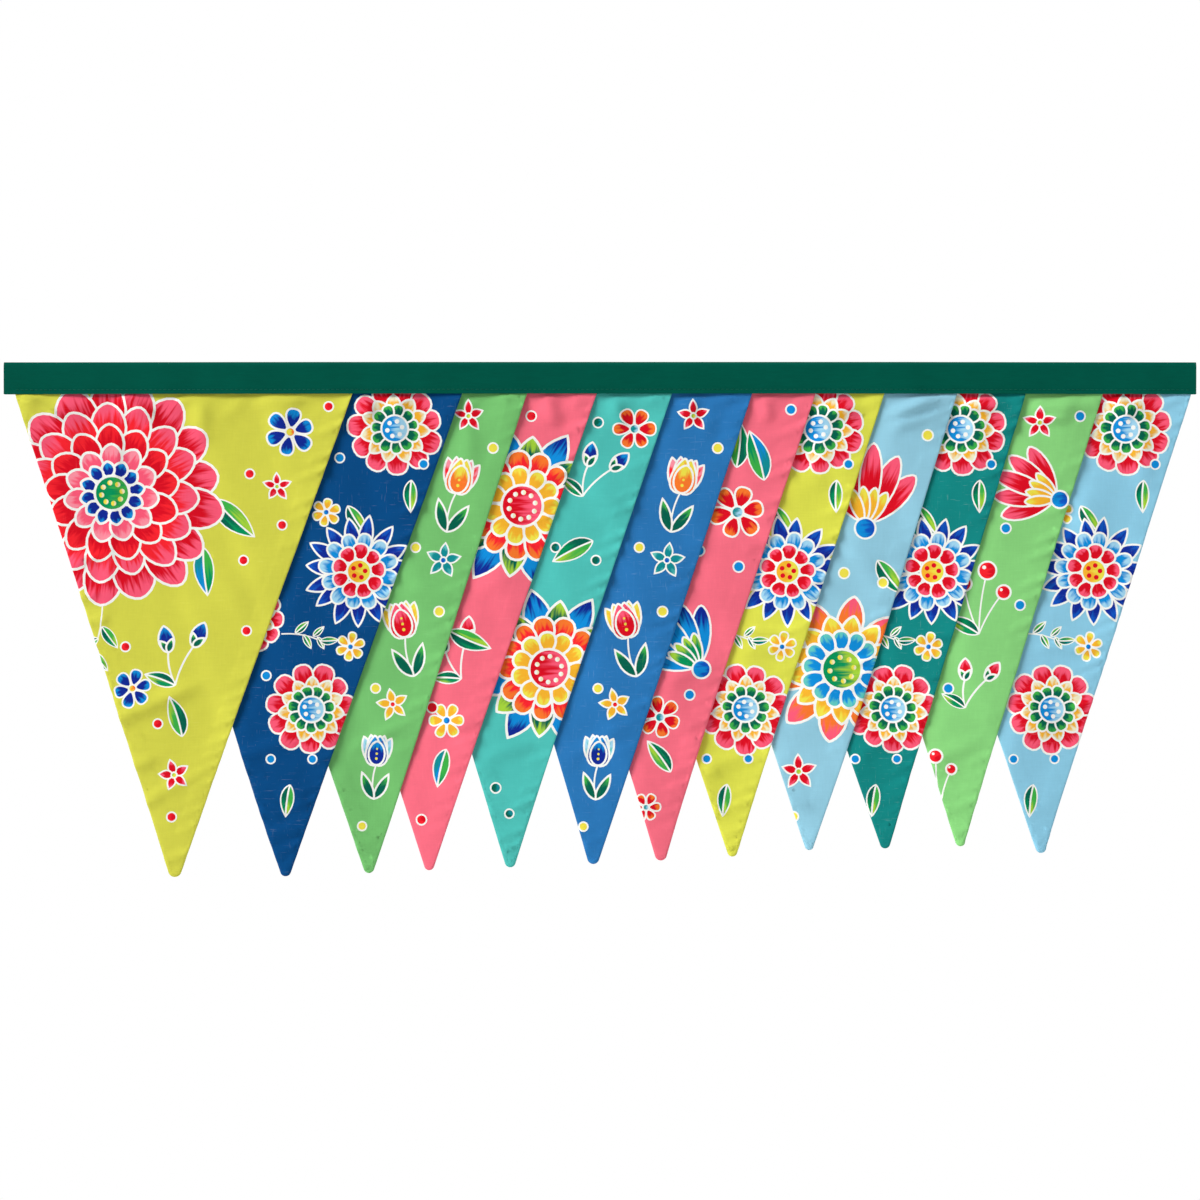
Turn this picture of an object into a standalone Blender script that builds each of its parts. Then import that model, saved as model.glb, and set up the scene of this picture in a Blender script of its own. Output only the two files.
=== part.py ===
"""A straight run of overlapping cloth pennants, sewn into one folded binding tape.

Metres. +X runs along the tape, +Z is up, and the front faces -Y.
The origin is the middle of the tape's top edge, from which the bunting hangs.
"""

import math
from collections import namedtuple

import bmesh
import bpy

# Binding tape: one strip, folded in half lengthwise over the heads of the pennants.
TAPE_LEFT = -0.373
TAPE_RIGHT = 0.373
TAPE_DEPTH = 0.020  # the folded width, from the top edge down
TAPE_WALL = 0.0010
TAPE_BACK = 0.0048  # where the flat back of the tape lies along Y
FOLD_RISE = 0.0030  # height of the rounded fold along the top
FOLD_STEPS = 6
TAPE_STEP = 0.030  # spacing of the tape's cross-sections

# Pennants: each is two plies of cotton, sewn round and turned, so it hangs as one sheet.
SHEET = 0.00103
GAP = 0.00032  # between a pennant and its neighbour, and between a pennant and the tape
PITCH = SHEET + GAP
BACKMOST = TAPE_BACK - TAPE_WALL - GAP - SHEET / 2  # middle of the sheet that lies at the back
HEAD_TOP = -0.007  # the heads reach this high inside the tape
TIP_STEPS = 5

# Facets: every pennant is cut from one shared net of triangles, so neighbours never touch.
COLUMN = 0.014
ROW = 0.040
FINE_ROW = 0.0125
PUCKERED = -0.070  # finer rows reach down to here
TIPS_PART = -0.270  # below this height no pennant overlaps another
LOWEST = -0.3325

# Hang: the cloth bellies gently forward towards its foot, in long uneven swells.
BELLY = 0.0050
DROP = 0.300  # from the tape's lower edge to the tips

Swell = namedtuple("Swell", "height wavelength crest")
SWELLS = (
    Swell(0.0024, 0.236, -0.245),
    Swell(0.0013, 0.109, 0.030),
)

Pucker = namedtuple("Pucker", "x height half_width length")
PUCKERS = (
    Pucker(-0.332, 0.0017, 0.009, 0.055),
    Pucker(-0.311, 0.0012, 0.008, 0.070),
    Pucker(-0.143, 0.0013, 0.010, 0.045),
    Pucker(-0.062, 0.0014, 0.011, 0.060),
    Pucker(0.290, 0.0016, 0.012, 0.065),
    Pucker(0.331, 0.0014, 0.009, 0.050),
)

# left and right are the corners at the tape's lower edge, tip_x and tip_z the lowest point.
# lean is how far the tip stands forward of the common hang, or back where it is negative.
Pennant = namedtuple("Pennant", "left right tip_x tip_z tip_radius lean colour")
PENNANTS = (
    Pennant(-0.3660, -0.1545, -0.2648, -0.3213, 0.0030, 0.0030, "D7D54C"),
    Pennant(-0.2935, -0.0860, -0.1979, -0.3211, 0.0030, -0.0015, "034B84"),
    Pennant(-0.2515, -0.0455, -0.1436, -0.3193, 0.0028, 0.0025, "78C574"),
    Pennant(-0.2050, -0.0020, -0.1066, -0.3173, 0.0028, 0.0040, "FC7084"),
    Pennant(-0.1500, 0.0450, -0.0562, -0.3151, 0.0030, -0.0010, "50C2BA"),
    Pennant(-0.0970, 0.0950, -0.0054, -0.3135, 0.0032, 0.0020, "2C79B9"),
    Pennant(-0.0585, 0.1345, 0.0365, -0.3111, 0.0032, 0.0045, "FC7185"),
    Pennant(-0.0140, 0.1775, 0.0830, -0.3091, 0.0028, 0.0010, "E2E452"),
    Pennant(0.0345, 0.2230, 0.1291, -0.3048, 0.0026, 0.0035, "94CCE0"),
    Pennant(0.0775, 0.2660, 0.1771, -0.3040, 0.0028, -0.0010, "128985"),
    Pennant(0.1345, 0.3145, 0.2241, -0.3016, 0.0026, 0.0030, "8BD57F"),
    Pennant(0.1745, 0.3700, 0.2750, -0.3062, 0.0030, 0.0040, "8ECDE8"),
)
TAPE_COLOUR = "005645"


def clear_scene():
    for obj in list(bpy.data.objects):
        bpy.data.objects.remove(obj, do_unlink=True)


def linear(channel):
    """One sRGB channel, 0 to 1, as a linear value."""
    if channel <= 0.04045:
        return channel / 12.92
    return ((channel + 0.055) / 1.055) ** 2.4


def cotton(name, colour):
    """Plain dyed or printed cotton, dull and faintly soft."""
    material = bpy.data.materials.new(name)
    material.use_nodes = True
    shader = material.node_tree.nodes["Principled BSDF"]
    channels = [linear(int(colour[i : i + 2], 16) / 255) for i in (0, 2, 4)]
    shader.inputs["Base Color"].default_value = (*channels, 1)
    shader.inputs["Roughness"].default_value = 0.85
    shader.inputs["Metallic"].default_value = 0
    return material


def add_object(name, mesh_data, colour, parent):
    mesh = bpy.data.meshes.new(name)
    mesh_data.to_mesh(mesh)
    mesh_data.free()
    mesh.materials.append(cotton(name, colour))
    mesh.shade_smooth()
    mesh.set_sharp_from_angle(angle=math.radians(40))
    obj = bpy.data.objects.new(name, mesh)
    bpy.context.collection.objects.link(obj)
    obj.parent = parent
    return obj


def edge_share(pennant, z):
    """How far down its side, 0 to 1, a pennant's edge is at a height."""
    return min(max((-TAPE_DEPTH - z) / (-TAPE_DEPTH - pennant.tip_z), 0), 1)


def left_edge(pennant, z):
    return pennant.left + (pennant.tip_x - pennant.left) * edge_share(pennant, z)


def layer(x, z):
    """The number, from 1, of the last pennant that starts left of a point, run on smoothly between."""
    starts = [left_edge(pennant, z) for pennant in PENNANTS]
    if x <= starts[0]:
        return 1
    for number, (start, end) in enumerate(zip(starts, starts[1:]), 1):
        if x < end:
            return number + (x - start) / (end - start)
    return len(PENNANTS)


def pucker_rise(pucker, x, z):
    """A soft ridge in the cloth that starts under the tape and dies out below."""
    share = (-TAPE_DEPTH - z) / pucker.length
    if not 0 < share < 1:
        return 0
    across = math.exp(-(((x - pucker.x) / pucker.half_width) ** 2))
    return pucker.height * across * 6.75 * share * (1 - share) ** 2


def hang(x, z):
    """How far the cloth stands forward of the tape's line at a point."""
    share = min(max((-TAPE_DEPTH - z) / DROP, 0), 1)
    ease = share * share * (3 - 2 * share)
    swells = sum(s.height * math.cos(math.tau * (x - s.crest) / s.wavelength) for s in SWELLS)
    return ease * (BELLY + swells) + sum(pucker_rise(p, x, z) for p in PUCKERS)


def common_sheet(x, z):
    """Where along Y a pennant numbered 0 would lie: each further number lies one pitch behind."""
    return BACKMOST - PITCH * layer(x, z) - hang(x, z)


def row_heights():
    heights = [HEAD_TOP]
    for start, end, step in (
        (-TAPE_DEPTH, PUCKERED, FINE_ROW),
        (PUCKERED, TIPS_PART, ROW),
        (TIPS_PART, LOWEST, FINE_ROW),
    ):
        steps = round((start - end) / step)
        heights += [start - step * k for k in range(steps)]
    return heights + [LOWEST]


def tip_lean(pennant, z):
    share = max(TIPS_PART - z, 0) / (TIPS_PART - pennant.tip_z)
    return pennant.lean * share * share


def net_of_triangles(number, pennant):
    """The shared net over one pennant's reach, on its own layer."""
    net = bmesh.new()
    first = math.floor(pennant.left / COLUMN)
    last = math.ceil(pennant.right / COLUMN)
    rows = []
    for z in row_heights():
        row = []
        for column in range(first, last + 1):
            x = column * COLUMN
            y = common_sheet(x, z) + PITCH * number - tip_lean(pennant, z)
            row.append(net.verts.new((x, y, z)))
        rows.append(row)
    for upper, lower in zip(rows, rows[1:]):
        for a, b, c, d in zip(upper, upper[1:], lower[1:], lower):
            net.faces.new((a, d, c))
            net.faces.new((a, c, b))
    return net


def touch(corner_x, centre, radius, side):
    """The angle, at a round tip's centre, where a straight side from a corner meets it."""
    across = corner_x - centre[0]
    up = -TAPE_DEPTH - centre[1]
    reach = math.hypot(across, up)
    return math.atan2(up, across) - side * math.acos(radius / reach)


def outline(pennant):
    """The pennant's corners, anticlockwise as the front is seen, with a rounded tip."""
    radius = pennant.tip_radius
    centre = (pennant.tip_x, pennant.tip_z + radius)
    start = touch(pennant.left, centre, radius, -1)
    end = touch(pennant.right, centre, radius, 1) + math.tau
    arc = []
    for step in range(TIP_STEPS + 1):
        angle = start + (end - start) * step / TIP_STEPS
        arc.append((centre[0] + radius * math.cos(angle), centre[1] + radius * math.sin(angle)))
    return (
        [(pennant.left, HEAD_TOP), (pennant.left, -TAPE_DEPTH)]
        + arc
        + [(pennant.right, -TAPE_DEPTH), (pennant.right, HEAD_TOP)]
    )


def cut_to_outline(net, corners):
    """Cuts the net down to a convex outline, one straight side at a time."""
    for (x1, z1), (x2, z2) in zip(corners, corners[1:]):
        everything = net.verts[:] + net.edges[:] + net.faces[:]
        bmesh.ops.bisect_plane(
            net,
            geom=everything,
            dist=1e-6,
            plane_co=(x1, 0, z1),
            plane_no=(z2 - z1, 0, x1 - x2),
            clear_outer=True,
        )


def thicken(net):
    """Turns the cut net into a closed sheet, half of its thickness to each side."""
    bmesh.ops.translate(net, verts=net.verts[:], vec=(0, -SHEET / 2, 0))
    grown = bmesh.ops.extrude_face_region(net, geom=net.faces[:], use_keep_orig=True)
    back = [item for item in grown["geom"] if isinstance(item, bmesh.types.BMVert)]
    bmesh.ops.translate(net, verts=back, vec=(0, SHEET, 0))
    bmesh.ops.recalc_face_normals(net, faces=net.faces[:])


def add_pennant(number, pennant, parent):
    net = net_of_triangles(number, pennant)
    cut_to_outline(net, outline(pennant))
    thicken(net)
    add_object(f"pennant_{number:02d}", net, pennant.colour, parent)


def stack_depth(x):
    """How far the front pennant's middle lies in front of the backmost one's, at the tape."""
    ending = [number for number, pennant in enumerate(PENNANTS, 1) if pennant.right > x]
    if not ending:
        return 0
    return PITCH * max(layer(x, -TAPE_DEPTH) - ending[0], 0)


def tape_front(x):
    """Where the outside of the tape's front wall lies, clear of every pennant near x."""
    near = [x + TAPE_STEP * share / 10 for share in range(-10, 11)]
    deepest = max(stack_depth(place) for place in near)
    return BACKMOST - deepest - SHEET / 2 - GAP - TAPE_WALL


def fold_line(front, back, rise):
    """Points (y, z) up the back wall, over the rounded fold and down the front wall."""
    middle = (front + back) / 2
    half = (back - front) / 2
    points = [(back, -TAPE_DEPTH)]
    for step in range(FOLD_STEPS + 1):
        angle = math.pi * step / FOLD_STEPS
        points.append((middle + half * math.cos(angle), -FOLD_RISE + rise * math.sin(angle)))
    points.append((front, -TAPE_DEPTH))
    return points


def tape_section(tape, x):
    """The outer and the inner line of the folded strip at one place along it."""
    front = tape_front(x)
    lines = (
        fold_line(front, TAPE_BACK, FOLD_RISE),
        fold_line(front + TAPE_WALL, TAPE_BACK - TAPE_WALL, FOLD_RISE - TAPE_WALL),
    )
    return [[tape.verts.new((x, y, z)) for y, z in line] for line in lines]


def add_strip(mesh, line_a, line_b):
    for a, b, c, d in zip(line_a, line_a[1:], line_b[1:], line_b):
        mesh.faces.new((a, b, c, d))


def add_tape(parent):
    tape = bmesh.new()
    steps = round((TAPE_RIGHT - TAPE_LEFT) / TAPE_STEP)
    places = [TAPE_LEFT + (TAPE_RIGHT - TAPE_LEFT) * k / steps for k in range(steps + 1)]
    sections = [tape_section(tape, x) for x in places]
    for (outer, inner), (next_outer, next_inner) in zip(sections, sections[1:]):
        add_strip(tape, outer, next_outer)
        add_strip(tape, inner, next_inner)
        tape.faces.new((outer[0], inner[0], next_inner[0], next_outer[0]))
        tape.faces.new((outer[-1], inner[-1], next_inner[-1], next_outer[-1]))
    for outer, inner in (sections[0], sections[-1]):
        add_strip(tape, outer, inner)
    bmesh.ops.recalc_face_normals(tape, faces=tape.faces[:])
    add_object("binding_tape", tape, TAPE_COLOUR, parent)


clear_scene()
bunting = bpy.data.objects.new("bunting", None)
bpy.context.collection.objects.link(bunting)
add_tape(bunting)
for place, row in enumerate(PENNANTS, 1):
    add_pennant(place, row, bunting)
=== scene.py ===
"""The looks of a fabric bunting: printed cotton pennants sewn into a folded binding tape."""

import math
from collections import namedtuple

import bpy
import numpy as np
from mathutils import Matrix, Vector
from mathutils.geometry import delaunay_2d_cdt


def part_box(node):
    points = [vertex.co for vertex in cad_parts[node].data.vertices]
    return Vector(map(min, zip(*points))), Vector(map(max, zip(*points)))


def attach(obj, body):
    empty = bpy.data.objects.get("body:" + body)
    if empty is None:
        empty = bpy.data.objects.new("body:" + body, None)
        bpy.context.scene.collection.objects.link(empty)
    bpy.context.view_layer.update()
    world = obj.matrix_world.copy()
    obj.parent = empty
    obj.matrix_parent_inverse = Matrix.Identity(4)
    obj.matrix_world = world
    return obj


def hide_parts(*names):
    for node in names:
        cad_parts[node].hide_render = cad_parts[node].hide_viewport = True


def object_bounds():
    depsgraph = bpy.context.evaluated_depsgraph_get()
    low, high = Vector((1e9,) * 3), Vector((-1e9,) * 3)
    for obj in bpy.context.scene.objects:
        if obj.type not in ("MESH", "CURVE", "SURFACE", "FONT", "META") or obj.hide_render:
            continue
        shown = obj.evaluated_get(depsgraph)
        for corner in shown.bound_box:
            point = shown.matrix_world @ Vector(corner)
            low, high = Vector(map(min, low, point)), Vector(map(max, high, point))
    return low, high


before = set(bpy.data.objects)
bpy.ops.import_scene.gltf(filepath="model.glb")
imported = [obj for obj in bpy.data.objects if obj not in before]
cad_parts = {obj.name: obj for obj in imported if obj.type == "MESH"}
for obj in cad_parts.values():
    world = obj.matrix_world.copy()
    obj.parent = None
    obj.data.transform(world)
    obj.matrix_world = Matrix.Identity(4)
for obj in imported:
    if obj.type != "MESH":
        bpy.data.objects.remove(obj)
cad_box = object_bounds()


# ---------------------------------------------------------------------------------------
# Studio. The bunting hangs in a plain white room, square on to the camera, high above a
# pale floor. A wide soft box at the upper left gives the light its direction, a weaker one
# on the right fills, and the walls are lit so evenly that they show as white.
# ---------------------------------------------------------------------------------------
LENS = 85
SENSOR = 36
VIEW_WIDTH = 0.750
VIEW_RISE = 0.0118  # the camera stands this far above the middle of the bunting
FRONT_WALL = 0.14  # its share of the back wall's light
FLOOR_DROP = 1.25
FLOOR_RADIUS = 3.3
FLOOR_FADE = 1.2  # from here outwards the floor fades into the lit room
FLOOR_SIDES = 96


def linear(code):
    """An sRGB hex colour as linear red, green and blue."""
    channels = [int(code[i : i + 2], 16) / 255 for i in (0, 2, 4)]
    return [c / 12.92 if c <= 0.04045 else ((c + 0.055) / 1.055) ** 2.4 for c in channels]


def add_node(tree, kind, inputs=None, **settings):
    """Adds a node, sets its properties, and fills or links its inputs."""
    made = tree.nodes.new(kind)
    for name, value in settings.items():
        setattr(made, name, value)
    for socket, value in (inputs or {}).items():
        if isinstance(value, bpy.types.NodeSocket):
            tree.links.new(value, made.inputs[socket])
        else:
            made.inputs[socket].default_value = value
    return made


def add_object(name, data):
    obj = bpy.data.objects.new(name, data)
    bpy.context.scene.collection.objects.link(obj)
    return obj


def aim(obj, place, target):
    """Puts a lamp or the camera at a place, looking at its target."""
    obj.location = place
    obj.rotation_euler = (Vector(target) - Vector(place)).to_track_quat("-Z", "Y").to_euler()


def add_far_light(name, place, softness, power):
    """A large soft box so far away that it lights the whole row evenly."""
    lamp = bpy.data.lights.new(name, "SUN")
    lamp.angle = softness
    lamp.energy = power
    aim(add_object(name, lamp), place, (0, 0, middle_z))


def white_room():
    """Plain white walls that light the row evenly, dimmer on the camera's side of the room."""
    world = bpy.data.worlds.new("white_room")
    world.use_nodes = True
    tree = world.node_tree
    tree.nodes.clear()
    toward = add_node(tree, "ShaderNodeTexCoord")
    split = add_node(tree, "ShaderNodeSeparateXYZ", {0: toward.outputs["Generated"]})
    behind = add_node(
        tree,
        "ShaderNodeMapRange",
        {"Value": split.outputs["Y"], "From Min": -0.15, "From Max": 0.35, "To Min": FRONT_WALL},
        interpolation_type="SMOOTHSTEP",
    )
    seen = add_node(tree, "ShaderNodeLightPath").outputs["Is Camera Ray"]
    shown = add_node(tree, "ShaderNodeMath", {0: seen, 1: behind.outputs[0]}, operation="MAXIMUM")
    light = add_node(tree, "ShaderNodeBackground", {"Color": (1, 1, 1, 1), "Strength": shown.outputs[0]})
    add_node(tree, "ShaderNodeOutputWorld", {"Surface": light.outputs[0]})
    bpy.context.scene.world = world


def floor_paint():
    """Matt white paint that fades into the lit room at its rim, so no edge shows."""
    material = bpy.data.materials.new("matt_floor_paint")
    material.use_nodes = True
    tree = material.node_tree
    tree.nodes.clear()
    where = add_node(tree, "ShaderNodeTexCoord")
    away = add_node(tree, "ShaderNodeVectorMath", {0: where.outputs["Object"]}, operation="LENGTH")
    rim = add_node(
        tree,
        "ShaderNodeMapRange",
        {"Value": away.outputs["Value"], "From Min": FLOOR_FADE, "From Max": FLOOR_RADIUS},
        interpolation_type="SMOOTHSTEP",
    )
    white = (*linear("F2F2F0"), 1)
    paint = add_node(tree, "ShaderNodeBsdfPrincipled", {"Base Color": white, "Roughness": 0.9})
    lit = add_node(tree, "ShaderNodeEmission", {"Color": (1, 1, 1, 1), "Strength": 0.95})
    mixed = add_node(tree, "ShaderNodeMixShader", {0: rim.outputs[0], 1: paint.outputs[0], 2: lit.outputs[0]})
    add_node(tree, "ShaderNodeOutputMaterial", {"Surface": mixed.outputs[0]})
    return material


def add_floor():
    """The pale floor: a wide disc, far below the bunting's points."""
    angles = [math.tau * k / FLOOR_SIDES for k in range(FLOOR_SIDES)]
    rim = [(FLOOR_RADIUS * math.cos(angle), FLOOR_RADIUS * math.sin(angle), 0) for angle in angles]
    disc = bpy.data.meshes.new("studio_floor")
    disc.from_pydata(rim, [], [range(FLOOR_SIDES)])
    disc.materials.append(floor_paint())
    floor = add_object("studio_floor", disc)
    floor.location.z = -FLOOR_DROP


middle_z = (cad_box[0].z + cad_box[1].z) / 2
camera_data = bpy.data.cameras.new("camera")
camera_data.lens = LENS
camera_data.sensor_width = SENSOR
camera = add_object("camera", camera_data)
camera_z = middle_z + VIEW_RISE
aim(camera, (0, -VIEW_WIDTH * LENS / SENSOR, camera_z), (0, 0, camera_z))
bpy.context.scene.camera = camera
bpy.context.scene.view_settings.view_transform = "Standard"
white_room()
add_floor()
add_far_light("key_light", (-1.75, -1.25, 1.45), 0.55, 3.1)
add_far_light("fill_light", (1.6, -2.4, 0.3), 0.60, 0.25)


# ---------------------------------------------------------------------------------------
# The hang. Each pennant lies in front of its right-hand neighbour and one sheet's pitch
# from it. All of them share one drape, so they nest: a soft belly towards the foot with
# long swells, a low step where a hidden left edge lies beneath, and puckers at the tape.
# ---------------------------------------------------------------------------------------
MM = 0.001
SHEET = 1.03 * MM
GAP = 0.32 * MM
PITCH = SHEET + GAP
TAPE_WALL = 1.0 * MM
EDGE_STEP = 16 * MM  # how far a front pennant takes to climb over a hidden edge
BELLY = 5.0 * MM
DROP = 0.300
PEAK = 6.75  # makes the hump share * (1 - share) ** 2 one high, or its mirror image
TIPS_PART = -0.270  # below this height no pennant overlaps another

Swell = namedtuple("Swell", "height wavelength crest")
SWELLS = (
    Swell(2.4 * MM, 0.236, -0.245),
    Swell(1.3 * MM, 0.109, 0.030),
)

Pucker = namedtuple("Pucker", "x height half_width length")
PUCKERS = (
    Pucker(-0.332, 1.7 * MM, 0.009, 0.055),
    Pucker(-0.311, 1.2 * MM, 0.008, 0.070),
    Pucker(-0.143, 1.3 * MM, 0.010, 0.045),
    Pucker(-0.062, 1.4 * MM, 0.011, 0.060),
    Pucker(0.290, 1.6 * MM, 0.012, 0.065),
    Pucker(0.331, 1.4 * MM, 0.009, 0.050),
)

tape_low, tape_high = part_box("binding_tape")
tape_edge = tape_low.z
tape_back = tape_high.y
backmost = tape_back - TAPE_WALL - GAP - SHEET / 2

Cut = namedtuple("Cut", "left right head tip_x tip_z")


def measure(name):
    """A pennant's corners and its point, from the solid that it stands for."""
    low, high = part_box(name)
    tip = min(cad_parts[name].data.vertices, key=lambda corner: corner.co.z)
    return Cut(low.x, high.x, high.z, tip.co.x, low.z)


names = [f"pennant_{number:02d}" for number in range(1, 13)]
cuts = [measure(name) for name in names]


def smooth(share):
    """Eases a share from 0 to 1, level at both ends."""
    share = np.clip(share, 0, 1)
    return share * share * (3 - 2 * share)


def side_x(cut, corner, z):
    """Where a straight side runs, from its corner at the tape to the pennant's point."""
    share = np.clip((tape_edge - z) / (tape_edge - cut.tip_z), 0, 1)
    return corner + (cut.tip_x - corner) * share


def layer(x, z):
    """How many pennants have started left of each point, rising smoothly before each edge."""
    count = np.ones_like(x)
    for cut in cuts[1:]:
        start = side_x(cut, cut.left, z)
        count += smooth((x - start + EDGE_STEP) / EDGE_STEP)
    return count


def drape(x, z):
    """How far the cloth stands forward of the tape's line."""
    down = tape_edge - z
    swells = sum(s.height * np.cos(math.tau * (x - s.crest) / s.wavelength) for s in SWELLS)
    forward = smooth(down / DROP) * (BELLY + swells)
    for pucker in PUCKERS:
        share = np.clip(down / pucker.length, 0, 1)
        across = np.exp(-(((x - pucker.x) / pucker.half_width) ** 2))
        forward = forward + pucker.height * across * PEAK * share * (1 - share) ** 2
    return forward


# ---------------------------------------------------------------------------------------
# Pennants. Each is two plies of printed quilting cotton, sewn down its two long sides and
# turned, so its edges are round and its seam allowance lies inside as a faint flat ridge.
# The point is blunt and a little bulky. The heads are caught raw-edged in the tape.
# ---------------------------------------------------------------------------------------
# The print is flowers, leaves and dots in brushed ink, each inside a white line. Its shapes
# are cut into the cloth's own mesh, so the lines stay crisp, and its sizes are millimetres.
LINE = 1.25
WIDE_LINE = 1.6  # round the largest flowers
FINE_LINE = 1.0  # round the smallest flowers and the dots
WHITE = "FAFAF5"
INKS = {
    "crimson": "E00A22",
    "scarlet": "FC2430",
    "coral": "FF5B7A",
    "rose": "FF93A4",
    "orange": "FB7A2C",
    "amber": "F9B62F",
    "yellow": "F2E34B",
    "cream": "F5EDC8",
    "lime": "A6D43C",
    "leaf": "3FB34A",
    "emerald": "00945A",
    "pine": "00644E",
    "teal": "0F8F96",
    "aqua": "62C9C2",
    "sky": "A6DAF4",
    "azure": "0C8EDB",
    "blue": "0F55C0",
    "navy": "0F2A96",
    "white": WHITE,
}

Shape = namedtuple("Shape", "outline root tip ink_at_root ink_at_tip")


def compass(angle):
    """The direction at an angle, and the one square to its left."""
    ahead = np.array([math.cos(angle), math.sin(angle)])
    return ahead, np.array([-ahead[1], ahead[0]])


def turned(points, angle):
    """The points turned anticlockwise about the origin."""
    cos, sin = math.cos(angle), math.sin(angle)
    return points @ np.array([[cos, sin], [-sin, cos]])


def signed_area(outline):
    """The area inside an outline, negative where its points run clockwise."""
    x, z = outline[:, 0], outline[:, 1]
    return 0.5 * np.sum(x * np.roll(z, -1) - z * np.roll(x, -1))


def grown(outline, amount):
    """The outline moved outwards by an amount, or inwards where it is negative."""
    ahead = np.roll(outline, -1, axis=0) - outline
    ahead /= np.maximum(np.linalg.norm(ahead, axis=1, keepdims=True), 1e-9)
    out = np.stack([ahead[:, 1], -ahead[:, 0]], axis=1)
    both = out + np.roll(out, 1, axis=0)
    length = np.maximum(np.linalg.norm(both, axis=1, keepdims=True), 1e-9)
    corner = both / length
    miter = np.minimum(2 / length, 2.2)
    return outline + corner * miter * amount


def petal_outline(length, width, root, nose, bend=0.0, steps=11):
    """A petal lying along +X from the origin. Low root and nose make it round at that end."""
    share = (1 - np.cos(np.linspace(0, math.pi, steps))) / 2
    half = share**root * (1 - share) ** nose
    half *= width / 2 / half.max()
    spine = bend * length * share**2
    lower = np.stack([share * length, spine - half], axis=1)
    upper = np.stack([share * length, spine + half], axis=1)
    return np.concatenate([lower, upper[-2:0:-1]])


def disc_outline(radius):
    """A circle, with fewer points the smaller it is."""
    count = 10 if radius < 1.2 else 16 if radius < 4 else 28
    angles = np.linspace(0, math.tau, count, endpoint=False)
    return radius * np.stack([np.cos(angles), np.sin(angles)], axis=1)


def draw(shapes, outline, root, tip, inks, line=LINE):
    """Lays a filled shape with a white line round it over what is drawn already."""
    if signed_area(outline) < 0:
        outline = outline[::-1]
    root, tip = np.asarray(root, float), np.asarray(tip, float)
    if line:
        shapes.append(Shape(grown(outline, line / 2), root, tip, WHITE, WHITE))
        outline = grown(outline, -line / 2)
    shapes.append(Shape(outline, root, tip, INKS[inks[0]], INKS[inks[1]]))


def draw_petal(shapes, at, angle, start, length, width, root, nose, inks, bend=0.0, line=LINE):
    """The brush is laid down a third of the way out, so the inks meet where they show."""
    along = compass(angle)[0]
    base = at + along * start
    outline = base + turned(petal_outline(length, width, root, nose, bend), angle)
    draw(shapes, outline, base + along * length * 0.3, base + along * length, inks, line)


def draw_disc(shapes, at, radius, inks, line=LINE):
    """A round spot, brushed from left to right."""
    side = np.array([radius, 0])
    draw(shapes, at + disc_outline(radius), at - side, at + side, inks, line)


def draw_stem(shapes, start, control, end, width, inks=("white", "white")):
    """A curved line of even width, drawn with no line round it."""
    share = np.linspace(0, 1, 13)[:, None]
    spine = (1 - share) ** 2 * start + 2 * share * (1 - share) * control + share**2 * end
    ahead = np.gradient(spine, axis=0)
    ahead /= np.linalg.norm(ahead, axis=1, keepdims=True)
    side = np.stack([-ahead[:, 1], ahead[:, 0]], axis=1) * width / 2
    draw(shapes, np.concatenate([spine - side, (spine + side)[::-1]]), start, end, inks, 0)


# A flower is rings of petals round an eye, from the outermost ring in. Sizes are shares of
# the flower's radius: a ring's petals start and reach that far out and are that wide.
Ring = namedtuple("Ring", "count start reach width root nose inks")
Eye = namedtuple("Eye", "radius inks seeds seed_ring seed_size seed_inks")

# The rings of the small flowers, without their inks.
BLOSSOM = (6, 0.14, 1.00, 0.60, 0.90, 0.42)
SLIM_BLOSSOM = (6, 0.14, 1.00, 0.58, 0.90, 0.42)
STAR = (5, 0.06, 1.00, 0.50, 0.80, 1.05)


def plain_flower(petals, petal_inks, eye_radius, eye_inks):
    """A small flower: one ring of petals round an eye without seeds."""
    return (Ring(*petals, petal_inks),), Eye(eye_radius, eye_inks, 0, 0, 0, eye_inks)


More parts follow.
